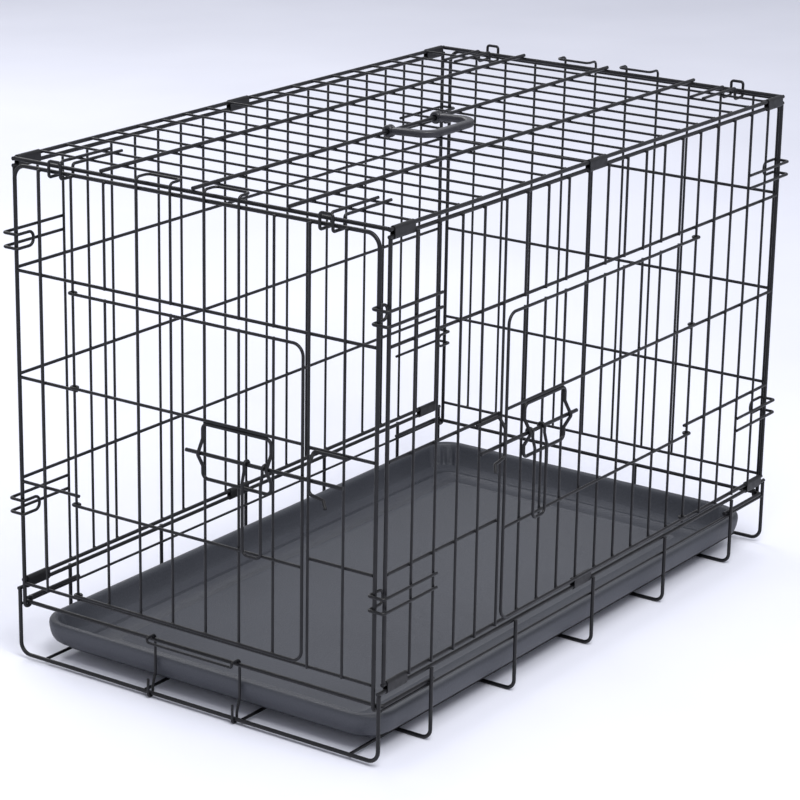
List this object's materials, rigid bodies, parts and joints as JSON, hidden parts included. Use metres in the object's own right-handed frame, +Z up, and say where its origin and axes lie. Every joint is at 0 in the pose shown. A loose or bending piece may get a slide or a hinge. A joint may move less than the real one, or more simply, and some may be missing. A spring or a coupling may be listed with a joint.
{
  "type": "wire dog crate",
  "caption": "Folding black wire dog crate with a front side door, an end door, slide-bolt latches, a plastic floor tray and a carry handle.",
  "frame": {"origin": "on the floor at the middle of the base", "axes": "+X along the crate away from the end door, +Y across the crate away from the side door, +Z up"},
  "size_m": [0.8041, 0.4866, 0.544],
  "materials": {
    "black_wire": "satin black powder coat",
    "hinge_clips": "black coated sheet steel",
    "tray_plastic": "pebble-grained moulded plastic",
    "handle_plastic": "moulded plastic"
  },
  "bodies": {
    "base": {"base_end_frames": "black_wire", "base_side_rails": "black_wire", "base_cross_wires": "black_wire", "base_floor_runners": "black_wire", "base_guard_wires": "black_wire", "base_end_rails": "black_wire", "base_hinge_clips": "hinge_clips"},
    "tray": {"tray": "tray_plastic"},
    "pan_lock": {"pan_lock_bail": "black_wire"},
    "front_panel": {"front_panel_frame": "black_wire", "front_panel_rails": "black_wire", "front_panel_bars": "black_wire", "front_corner_hooks": "black_wire", "side_door_keeper": "black_wire"},
    "back_panel": {"back_panel_frame": "black_wire", "back_panel_rails": "black_wire", "back_panel_bars": "black_wire", "back_corner_hooks": "black_wire"},
    "top_panel": {"top_frame": "black_wire", "top_cross_wires": "black_wire", "top_runners": "black_wire", "top_end_hooks": "black_wire", "top_hinge_clips": "hinge_clips"},
    "carry_handle": {"carry_handle": "handle_plastic"},
    "near_end_panel": {"near_end_frame": "black_wire", "near_end_rails": "black_wire", "near_end_bars": "black_wire", "near_end_catch_loops": "black_wire", "end_door_keeper": "black_wire"},
    "far_end_panel": {"far_end_frame": "black_wire", "far_end_rails": "black_wire", "far_end_bars": "black_wire", "far_end_catch_loops": "black_wire"},
    "side_door": {"side_door_frame": "black_wire", "side_door_rails": "black_wire", "side_door_bars": "black_wire", "side_bolt_guide": "black_wire"},
    "side_bolt": {"side_bolt_rod": "black_wire"},
    "side_bolt_handle": {"side_bolt_handle": "black_wire"},
    "end_door": {"end_door_frame": "black_wire", "end_door_rails": "black_wire", "end_door_bars": "black_wire", "end_bolt_guide": "black_wire"},
    "end_bolt": {"end_bolt_rod": "black_wire"},
    "end_bolt_handle": {"end_bolt_handle": "black_wire"}
  },
  "joints": [
    {"name": "back_fold", "type": "hinge", "parent": "base", "child": "back_panel", "pos_m": [0, 0.2286, 0.0847], "axis": [-1, 0, 0], "range_deg": [0, 80], "deforming": ["front_corner_hooks", "back_corner_hooks", "top_end_hooks"]},
    {"name": "front_fold", "type": "hinge", "parent": "base", "child": "front_panel", "pos_m": [0, -0.2286, 0.0847], "axis": [-1, 0, 0], "range_deg": [0, 80]},
    {"name": "top_fold", "type": "hinge", "parent": "back_panel", "child": "top_panel", "pos_m": [0, 0.2286, 0.5262], "axis": [-1, 0, 0], "range_deg": [-80, 0]},
    {"name": "near_end_fold", "type": "hinge", "parent": "base", "child": "near_end_panel", "pos_m": [-0.3838, 0, 0.0627], "axis": [0, 1, 0], "range_deg": [0, 92.5]},
    {"name": "far_end_fold", "type": "hinge", "parent": "base", "child": "far_end_panel", "pos_m": [0.3838, 0, 0.0627], "axis": [0, 1, 0], "range_deg": [-90, 0]},
    {"name": "side_door_swing", "type": "hinge", "parent": "front_panel", "child": "side_door", "pos_m": [0.1905, -0.23213, 0.25], "axis": [0, 0, -1], "range_deg": [-110, 0]},
    {"name": "side_bolt_slide", "type": "slide", "parent": "side_door", "child": "side_bolt", "axis": [-1, 0, 0], "range_m": [-0.044, 0]},
    {"name": "side_bolt_lift", "type": "hinge", "parent": "side_bolt", "child": "side_bolt_handle", "pos_m": [-0.14, -0.23913, 0.2805], "axis": [1, 0, 0], "range_deg": [-100, 0]},
    {"name": "end_door_swing", "type": "hinge", "parent": "near_end_panel", "child": "end_door", "pos_m": [-0.39183, 0.14547, 0.25], "axis": [0, 0, 1], "range_deg": [-110, 0]},
    {"name": "end_bolt_slide", "type": "slide", "parent": "end_door", "child": "end_bolt", "axis": [0, -1, 0], "range_m": [-0.044, 0]},
    {"name": "end_bolt_lift", "type": "hinge", "parent": "end_bolt", "child": "end_bolt_handle", "pos_m": [-0.39883, -0.09, 0.2805], "axis": [0, -1, 0], "range_deg": [-100, 0]},
    {"name": "pan_lock_turn", "type": "hinge", "parent": "base", "child": "pan_lock", "pos_m": [-0.3883, 0, 0.0052], "axis": [0, 1, 0], "range_deg": [-78, 0]},
    {"name": "handle_lift", "type": "hinge", "parent": "top_panel", "child": "carry_handle", "pos_m": [0, 0, 0.53753], "axis": [1, 0, 0], "range_deg": [-170, 0]},
    {"name": "tray_lift", "type": "slide", "parent": "base", "child": "tray", "axis": [0, 0, -1], "range_m": [-0.25, 0]}
  ],
  "couplings": [
    {"joint": "front_fold", "follows": "back_fold", "ratio": 1},
    {"joint": "top_fold", "follows": "back_fold", "ratio": -1}
  ]
}
